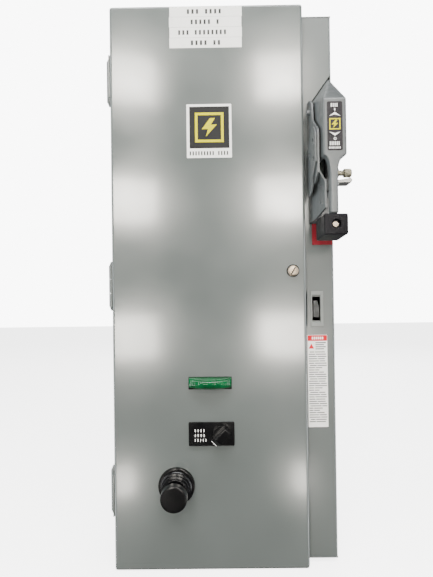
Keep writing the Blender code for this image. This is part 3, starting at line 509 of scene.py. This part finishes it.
def maker_plate():
    """A white plate: a yellow frame and a lightning bolt on black, over a row of blocks."""
    x0, z1 = DOOR_LOW.x + 87.8 * MM, DOOR_HIGH.z - 114.3 * MM
    x1, z0 = x0 + 51.5 * MM, z1 - 61.6 * MM
    thick = 0.4 * MM
    plate = rounded(x0, z0, x1, z1, 0.8 * MM)
    flat("maker_plate", [plate], DOOR_FACE, thick, PLATE_WHITE, "door")
    face = DOOR_FACE - thick
    black_x0, black_x1 = x0 + 3.2 * MM, x1 - 2.7 * MM
    black_z0, black_z1 = z0 + 10.9 * MM, z1 - 2.8 * MM
    black = rectangle(black_x0, black_z0, black_x1, black_z1)
    flat("maker_plate_black", [black], face, FILM, LABEL_BLACK, "door")
    middle_x, middle_z = (black_x0 + black_x1) / 2, (black_z0 + black_z1) / 2
    half_x = 16.4 * MM
    half_z = half_x * 1.04
    ring = frame_outlines(
        middle_x - half_x, middle_z - half_z, middle_x + half_x, middle_z + half_z, 3.0 * MM
    )
    bolt = [(0.8, 10.6), (-8.6, -2.0), (-1.6, -2.0), (-4.0, -10.6)]
    bolt += [(8.6, 3.2), (1.8, 3.2), (6.6, 10.6)]
    bolt = [(middle_x + x * MM, middle_z + z * MM) for x, z in bolt]
    flat("maker_plate_yellow", [*ring, bolt], face - FILM, FILM, YELLOW, "door")
    row = word_blocks(black_x0, black_x1, z0 + 3.0 * MM, z0 + 7.6 * MM, (9, 4), 0.5)
    flat("maker_plate_marks", row, face, FILM, INK, "door")


def pilot_lens():
    """A clear green bar with fine upright ribs, crowned and bowed below, in a black gasket."""
    low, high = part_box("pilot_lens")
    x0, x1, z0, z1 = low.x, high.x, low.z, high.z
    middle, half, face = (x0 + x1) / 2, (x1 - x0) / 2, DOOR_FACE - 0.3 * MM
    crown, ends = (face - low.y) * 0.62, (face - low.y) * 0.38
    rib, bow = 0.16 * MM, 1.4 * MM
    steps_per_rib = 4
    columns = 24 * steps_per_rib
    angles = [math.radians(a) for a in (0, 14, 30, 48, 68, 90, 112, 132, 150, 166, 180)]
    section = [(0.5 - 0.5 * math.cos(a), 0.25 + 0.75 * math.sin(a)) for a in angles]
    section = [(0.0, 0), *section, (1.0, 0)]
    bm = bmesh.new()
    rows = []
    for column in range(columns + 1):
        x = x0 + (x1 - x0) * column / columns
        across = (x - middle) / half
        depth = ends + crown * (1 - across * across)
        foot = z0 + bow * across * across
        if 2 < column < columns - 2:
            depth += rib * (1 - abs(column % steps_per_rib - 2))
        row = [(x, face - depth * rise, foot + (z1 - foot) * part) for part, rise in section]
        rows.append([bm.verts.new(point) for point in row])
    for first, second in zip(rows, rows[1:]):
        for i in range(len(section)):
            j = (i + 1) % len(section)
            bm.faces.new((first[i], first[j], second[j], second[i]))
    bm.faces.new(rows[0])
    bm.faces.new(rows[-1])
    lens = from_bmesh("pilot_lens_bar", bm, LENS, "door", 30)
    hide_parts("pilot_lens")
    rim = 0.5 * MM
    gasket = frame_outlines(x0 - rim, z0 - rim, x1 + rim, z1 + rim, rim + bow)
    flat("pilot_gasket", gasket, DOOR_FACE, 1.2 * MM, BLACK, "door")


def selector_marks():
    """Rows of blocks on the selector's plate, a rim, and the white line across the knob's nose."""
    low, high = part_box("selector_plate")
    face = low.y
    marks = []
    for row, (letters, last) in enumerate(((4, 20.2), (4, 20.2), (5, 22.0))):
        z1 = high.z - (7.8 + 5.4 * row) * MM
        x0, x1 = low.x + 7.0 * MM, low.x + last * MM
        marks += word_blocks(x0, x1, z1 - 3.2 * MM, z1, (letters,), 0.68)
    flat("selector_legend", marks, face, FILM, WHITE_INK, "door")
    rim = 0.7 * MM
    border = frame_outlines(low.x + rim, low.z + rim, high.x - rim, high.z - rim, 0.5 * MM)
    flat("selector_plate_rim", border, face, 0.25 * MM, BLACK, "door")

    # The line lies on the nose's slope, in the knob's own X and Y before it is turned into place
    joint = next(j for j in frame["joints"] if j["name"] == "selector_turn")
    line = [(-13.1, 3.0), (-11.9, 1.3), (-11.7, 1.5), (-12.9, 3.2)]
    half_length = 3.9 * MM
    bm = bmesh.new()
    ends = [
        [bm.verts.new((x * MM, y * MM, z)) for x, y in line] for z in (-half_length, half_length)
    ]
    for end in ends:
        bm.faces.new(end)
    for i in range(4):
        j = (i + 1) % 4
        bm.faces.new((ends[0][i], ends[0][j], ends[1][j], ends[1][i]))
    place = Matrix.Translation((joint["pos_m"][0], face - 8.3 * MM, joint["pos_m"][2]))
    turn = Matrix.Rotation(math.radians(-45), 4, "Y")
    bmesh.ops.transform(bm, matrix=place @ turn, verts=bm.verts)
    from_bmesh("selector_line", bm, WHITE_INK, "selector_knob")


def door_screw():
    """The captive screw: a domed head with a strip of painted shade in its slot, a long shank, and a black
    retaining ring that stands in for the shadow round its base.
    """
    low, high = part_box("door_screw")
    x, z = (low.x + high.x) / 2, (low.z + high.z) / 2
    radius = (high.x - low.x) / 2
    face = DOOR_FACE - 0.3 * MM
    head, shank, tail = face - low.y, 2.8 * MM, -22.3 * MM
    profile = [(tail, 0), (tail, 1.2 * MM), (tail + 1.8 * MM, shank), (0, shank), (0, radius)]
    profile += [(head * 0.62, radius), (head * 0.86, radius * 0.93), (head * 0.97, radius * 0.78)]
    profile += [(head, radius * 0.6), (head, 0)]
    centre = (x, face, z)
    screw = lathe(
        "door_screw_head", profile, centre, (0, -1, 0), NICKEL, "door_screw", 44
    )
    place = Matrix.Translation((x, low.y, z)) @ Matrix.Rotation(math.radians(-60), 4, "Y")
    bm = bmesh.new()
    add_prism(bm, rectangle(-10 * MM, -0.8 * MM, 10 * MM, 0.8 * MM), 2.2 * MM, -2.0 * MM)
    bmesh.ops.transform(bm, matrix=place, verts=bm.verts)
    carve(screw, bm)
    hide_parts("door_screw")
    # Painted shade: a thin near-black strip on the slot's floor, standing in for the shade inside the slot
    bm = bmesh.new()
    add_prism(bm, rectangle(-5.2 * MM, -0.76 * MM, 5.2 * MM, 0.76 * MM), 2.4 * MM, 1.7 * MM)
    bmesh.ops.transform(bm, matrix=place, verts=bm.verts)
    from_bmesh("door_screw_slot_painted_shade", bm, SLOT_SHADE, "door_screw")
    # Painted shadow: a black ring round the screw's base, shaped as a retaining ring, dark to stand in for the
    # shadow at the screw's foot
    inner, outer, thick = radius * 1.06, radius * 1.20, 1.2 * MM
    ring = sleeve(0, thick, inner, outer)
    lathe("door_screw_shadow_ring", ring, (x, DOOR_FACE, z), (0, -1, 0), BLACK, "door")


# Flange ---------------------------------------------------------------------------------------


def hazard_label():
    """A tall white label by the door's edge, with a red head and rows of small blocks."""
    x0, z0 = DOOR_HIGH.x + 3.2 * MM, FLANGE_LOW.z + 150.5 * MM
    x1, z1 = x0 + 23.0 * MM, z0 + 107.5 * MM
    thick = 0.2 * MM
    label = rounded(x0, z0, x1, z1, 0.6 * MM)
    flat("flange_label", [label], FLANGE_FACE, thick, PLATE_WHITE, "enclosure")
    face = FLANGE_FACE - thick
    head = rectangle(x0 + 0.3 * MM, z1 - 7.0 * MM, x1 - 0.3 * MM, z1 - 0.4 * MM)
    flat("flange_label_head", [head], face, FILM, LABEL_RED, "enclosure")
    title = word_blocks(x0 + 5.0 * MM, x1 - 4.0 * MM, z1 - 5.2 * MM, z1 - 2.2 * MM, (6,), 0.3)
    flat("flange_label_title", title, face - FILM, FILM, WHITE_INK, "enclosure")
    foot, peak = z1 - 16.0 * MM, z1 - 10.0 * MM
    sign = [(x0 + 1.2 * MM, foot), (x0 + 7.6 * MM, foot), (x0 + 4.4 * MM, peak)]
    flat("flange_label_sign", [sign], face, FILM, LABEL_RED, "enclosure")
    rows = []
    for row in range(4):
        top = z1 - (8.6 + 2.4 * row) * MM
        right = x1 - (1.6 + 2.2 * (row % 2)) * MM
        rows.append(rectangle(x0 + 9.2 * MM, top - 1.1 * MM, right, top))
    lengths = (17.5, 20.5, 19.0, 20.8, 12.0, 20.0, 18.6, 20.6, 15.5)
    for row in range(32):
        top = z1 - (19.5 + row * 2.62) * MM
        bottom = top - 0.95 * MM
        length = lengths[(row * 5) % len(lengths)] * MM
        left = x0 + (1.2 if row % 6 else 2.4) * MM
        split = left + length * (0.30 + 0.08 * (row % 5))
        rows.append(rectangle(left, bottom, split, top))
        rows.append(rectangle(split + 0.8 * MM, bottom, min(left + length, x1 - 1.0 * MM), top))
    flat("flange_label_marks", rows, face, FILM, INK, "enclosure")


# Handle ---------------------------------------------------------------------------------------


def cast_lever():
    """The lever as a casting: the CAD shape remeshed, and smoothed clear of the flange."""
    shape = bare_mesh("handle_lever")
    lever = piece("handle_lever_cast", shape, CAST, "handle")
    remesh = lever.modifiers.new("casting", "REMESH")
    remesh.mode = "VOXEL"
    remesh.voxel_size = 0.9 * MM
    remesh.use_smooth_shade = True
    settle(lever)
    clear = [v.index for v in lever.data.vertices if v.co.y < FLANGE_FACE - 4 * MM]
    lever.vertex_groups.new(name="front").add(clear, 1.0, "REPLACE")
    smooth = lever.modifiers.new("soft edges", "SMOOTH")
    smooth.factor = 0.5
    smooth.iterations = 6
    smooth.vertex_group = "front"
    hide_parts("handle_lever")


def handle_label():
    """A dark plate on the head: arrows, the bar and circle of on and off, and a yellow bolt."""
    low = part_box("handle_lever")[0]
    x0, z0 = low.x + 3.8 * MM, low.z + 64.6 * MM
    x1, z1 = x0 + 15.8 * MM, z0 + 50.7 * MM
    middle = (x0 + x1) / 2
    sunk, thick = 0.3 * MM, 0.45 * MM
    plate = rounded(x0, z0, x1, z1, 1.6 * MM)
    flat("handle_label", [plate], low.y + sunk, thick, LABEL_GREY, "handle")
    top = low.y + sunk - thick

    def at(points):
        return [(middle + x * MM, z0 + z * MM) for x, z in points]

    white = [
        at([(-5.8, 35.6), (0, 39.8), (5.8, 35.6), (0, 37.2)]),
        at([(-5.8, 19.3), (0, 17.7), (5.8, 19.3), (0, 15.1)]),
        at([(-0.6, 41.2), (0.6, 41.2), (0.6, 43.6), (-0.6, 43.6)]),
    ]
    centre, sides = (middle, z0 + 12.2 * MM), 16
    outer = arc(centre, 1.4 * MM, 0, 360, sides + 1)
    inner = arc(centre, 0.8 * MM, 0, 360, sides + 1)
    for i in range(sides):
        white.append([outer[i], outer[i + 1], inner[i + 1], inner[i]])
    # Each row of blocks: half its width, its bottom and top, and its length in letters
    for half, bottom, up, letters in ((3.9, 45.0, 48.8, 4), (5.4, 5.4, 9.2, 6), (6.2, 1.8, 3.8, 9)):
        (left, low_z), (right, high_z) = at([(-half, bottom), (half, up)])
        white += word_blocks(left, right, low_z, high_z, (letters,), 0.5)
    flat("handle_label_white", white, top, FILM, WHITE_INK, "handle")
    (left, low_z), (right, high_z) = at([(-5.7, 21.6), (5.7, 33.2)])
    square = frame_outlines(left, low_z, right, high_z, 1.1 * MM)
    bolt = [(0.6, 31.6), (-3.4, 26.8), (-0.6, 26.8), (-1.8, 23.2)]
    bolt += [(3.4, 28.2), (0.6, 28.2), (2.6, 31.6)]
    flat("handle_label_yellow", [*square, at(bolt)], top, FILM, YELLOW, "handle")


def cross_bolt():
    """The cross bolt: a shank with a plain collar by the bracket and a knurled head."""
    low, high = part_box("lock_bolt")
    y, z = (low.y + high.y) / 2, (low.z + high.z) / 2
    collar, length = (high.z - low.z) / 2, high.x - low.x
    shank, knurl = 3.0 * MM, 4.8 * MM
    nut, head = 5.6 * MM, length - 8.8 * MM
    profile = [(0, 0), (0, 2.6 * MM), (0.5 * MM, shank), (nut, shank), (nut, collar)]
    profile += [(nut + 2.8 * MM, collar), (nut + 3.0 * MM, shank), (head, shank)]
    profile += [(head, knurl - 0.8 * MM), (head + 0.6 * MM, knurl), (length - 1.2 * MM, knurl)]
    profile += [(length, knurl - 1.2 * MM), (length, 2.6 * MM), (length - 1.0 * MM, 2.2 * MM)]
    profile += [(length - 1.0 * MM, 0)]
    sides = 60
    bolt = lathe(
        "lock_bolt_knurled",
        profile,
        (low.x, y, z),
        (1, 0, 0),
        KNURLED,
        "enclosure",
        sides,
        25,
    )
    for vertex in bolt.data.vertices:
        along, radial = vertex.co.x - low.x, Vector((0, vertex.co.y - y, vertex.co.z - z))
        if along > head and radial.length > knurl - 0.2 * MM:
            side = round(math.atan2(radial.z, radial.y) / (2 * math.pi) * sides)
            vertex.co += radial.normalized() * (0.1 * MM if side % 2 else -0.4 * MM)
    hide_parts("lock_bolt")


# Inside ---------------------------------------------------------------------------------------


def fuses():
    """Cartridge fuses: turned ferrules with rolled edges, a wound tube and a paper band."""
    cap, band_gap = 22 * MM, 12 * MM
    for number in (1, 2, 3):
        low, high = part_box(f"fuse_{number}")
        foot = ((low.x + high.x) / 2, (low.y + high.y) / 2, low.z)
        radius, length = (high.x - low.x) / 2, high.z - low.z
        tube = radius - 0.7 * MM
        end = [(0, 0), (0, radius - 1.2 * MM), (0.4 * MM, radius - 0.3 * MM), (1.2 * MM, radius)]
        end += [(cap - 0.8 * MM, radius), (cap, radius - 0.3 * MM), (cap, tube)]
        profile = end + [(length - along, across) for along, across in reversed(end)]
        fuse = lathe(
            f"fuse_tube_{number}", profile, foot, (0, 0, 1), FIBRE, "enclosure"
        )
        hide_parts(f"fuse_{number}")
        for place, start in (("lower", 0.0), ("upper", length - cap)):
            shell = sleeve(
                start + 0.6 * MM, start + cap - 0.6 * MM, radius - 0.8 * MM, radius + FILM
            )
            lathe(
                f"ferrule_{place}_{number}", shell, foot, (0, 0, 1), COPPER, "enclosure"
            )
        first, last = cap + band_gap, length - cap - band_gap
        band = sleeve(first, last, tube - 0.4 * MM, tube + 0.1 * MM)
        lathe(f"fuse_band_{number}", band, foot, (0, 0, 1), PLATE_WHITE, "enclosure")


def terminal_screws():
    """Screw heads on the contactor, the relay, the lugs and the mounting plate."""
    base_low, base_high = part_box("contactor_base")
    for number in (1, 2, 3):
        x = base_low.x + (27 * number - 9) * MM
        for level, z in (("line", base_high.z - 9 * MM), ("load", base_low.z + 9 * MM)):
            name = f"contactor_{level}_screw_{number}"
            slotted_screw(name, (x, base_low.y, z), 4.2 * MM, 2.2 * MM, 40 * number)
        low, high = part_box(f"load_terminal_{number}")
        centre = (x, low.y, (low.z + high.z) / 2)
        slotted_screw(f"relay_screw_{number}", centre, 4.0 * MM, 1.8 * MM, 25 * number)
        low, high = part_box(f"line_jaw_{number}")
        centre = ((low.x + high.x) / 2, low.y + 11 * MM, high.z - 10 * MM)
        slotted_screw(f"line_lug_screw_{number}", centre, 4.8 * MM, 2.2 * MM, 70 * number)
    low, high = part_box("ground_lug")
    centre = ((low.x + high.x) / 2, low.y, (low.z + high.z) / 2)
    slotted_screw("ground_screw", centre, 4.8 * MM, 2.2 * MM, 20)
    low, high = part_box("mounting_plate")
    inset = 10 * MM
    number = 0
    for z in (low.z + inset, high.z - inset):
        for x in (low.x + inset, high.x - inset):
            number += 1
            centre = (x, low.y, z)
            slotted_screw(f"plate_screw_{number}", centre, 5.5 * MM, 2.4 * MM, 33 * number)


def knockouts():
    """Pressed conduit rings in the top and bottom walls."""
    low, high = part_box("enclosure_box")
    middle = (low.y + high.y) / 2
    sizes = ((-70 * MM, 14 * MM), (0.0, 17.5 * MM), (70 * MM, 14 * MM))
    for wall, z, direction in (("top", high.z, 1), ("bottom", low.z, -1)):
        for number, (x, inner) in enumerate(sizes, 1):
            for ring, radius in enumerate((inner, inner + 4.5 * MM), 1):
                inside, outside = radius - 0.4 * MM, radius + 0.4 * MM
                sunk, shoulder, peak = -0.2 * MM, 0.3 * MM, 0.5 * MM
                profile = [(sunk, inside), (shoulder, inside), (peak, radius)]
                profile += [(shoulder, outside), (sunk, outside), (sunk, inside)]
                name = f"knockout_{wall}_{number}_{ring}"
                lathe(
                    name, profile, (x, middle, z), (0, 0, direction), BOX_ENAMEL, "enclosure"
                )


# Stage ----------------------------------------------------------------------------------------


WARM, WHITE, COOL = (1, 0.95, 0.87), (1, 1, 1), (0.96, 0.98, 1)
FRONT_Y = -1.5  # the plane of the small soft boxes
SURROUND_LIGHT, SURROUND_SEEN = 0.20, 9.0
CAMERA_PLACE = (-0.00653, -0.73455, -0.00601)
CAMERA_TURN = (1.57884, 0.01306, 0.00700)
SENSOR_MM, FOCAL_MM = 36, 30.31


def floor():
    """A pale floor that glows by itself and leaves the object's own light alone."""
    bm = bmesh.new()
    bmesh.ops.create_grid(bm, x_segments=4, y_segments=4, size=4)
    bmesh.ops.translate(bm, vec=(0, 0, CAD_BOX[0].z - 0.5 * MM), verts=bm.verts)
    mesh = bpy.data.meshes.new("floor")
    bm.to_mesh(mesh)
    bm.free()
    mesh.materials.append(FLOOR.made)
    made = bpy.data.objects.new("floor", mesh)
    bpy.context.scene.collection.objects.link(made)
    made.visible_diffuse = made.visible_glossy = made.visible_shadow = False


def softbox(name, location, target, size, power, colour):
    """A rectangular area light that looks at a target and that the camera doesn't see."""
    light = bpy.data.lights.new(name, "AREA")
    light.shape = "RECTANGLE"
    light.size, light.size_y = size
    light.energy = power
    light.color = colour
    made = bpy.data.objects.new(name, light)
    bpy.context.scene.collection.objects.link(made)
    made.location = location
    direction = Vector(target) - Vector(location)
    made.rotation_euler = direction.to_track_quat("-Z", "Y").to_euler()
    made.visible_camera = False


def lights():
    """Two columns of small soft boxes before the door, a top box, side strips and a back fill."""
    for column, x in (("left", -0.345), ("right", 0.24)):
        for row, (z, power) in enumerate(((0.825, 5.8), (0.352, 5.8), (-0.172, 4.6)), 1):
            aim = (0.2 * x, DOOR_FACE, 0.3 * z)
            name = f"soft_box_{column}_{row}"
            softbox(name, (x, FRONT_Y, z), aim, (0.19, 0.16), power, WARM)
    for column, x in (("left", -0.39), ("right", 0.31)):
        aim = (0.2 * x, DOOR_FACE, -0.25)
        softbox(f"low_box_{column}", (x, FRONT_Y, -0.726), aim, (0.08, 0.10), 1.1, WARM)
    softbox("top_box", (0.0, -0.72, 0.98), (0, -0.1, 0), (1.2, 0.35), 23.0, WHITE)
    for side, x in (("left", -1.0), ("right", 1.0)):
        softbox(f"rim_strip_{side}", (x, -0.30, 0.0), (0, -0.1, 0), (0.25, 1.6), 16.0, COOL)
    softbox("back_fill", (0.3, 1.6, 0.9), (0, 0, 0), (1.0, 1.0), 30.0, WHITE)


def surround():
    """A faint white surround that the camera sees as bright white."""
    world = bpy.data.worlds.new("white_surround")
    world.use_nodes = True
    tree = world.node_tree
    lit = tree.nodes["Background"]
    seen = tree.nodes.new("ShaderNodeBackground")
    for background, strength in ((lit, SURROUND_LIGHT), (seen, SURROUND_SEEN)):
        background.inputs["Color"].default_value = (1, 1, 1, 1)
        background.inputs["Strength"].default_value = strength
    path = tree.nodes.new("ShaderNodeLightPath")
    mix = tree.nodes.new("ShaderNodeMixShader")
    tree.links.new(path.outputs["Is Camera Ray"], mix.inputs["Fac"])
    tree.links.new(lit.outputs["Background"], mix.inputs[1])
    tree.links.new(seen.outputs["Background"], mix.inputs[2])
    tree.links.new(mix.outputs["Shader"], tree.nodes["World Output"].inputs["Surface"])
    bpy.context.scene.world = world


def camera():
    """Nearly straight in front, at the height of the object's middle, with a slight tilt."""
    data = bpy.data.cameras.new("camera")
    data.sensor_fit = "VERTICAL"
    data.sensor_height = SENSOR_MM
    data.lens = FOCAL_MM
    data.clip_start, data.clip_end = 0.01, 50
    made = bpy.data.objects.new("camera", data)
    bpy.context.scene.collection.objects.link(made)
    made.location = CAMERA_PLACE
    made.rotation_euler = CAMERA_TURN
    bpy.context.scene.camera = made


refine_nodes()
tape_strips()
maker_plate()
pilot_lens()
selector_marks()
door_screw()
hazard_label()
cast_lever()
handle_label()
cross_bolt()
fuses()
terminal_screws()
knockouts()
floor()
lights()
surround()
camera()
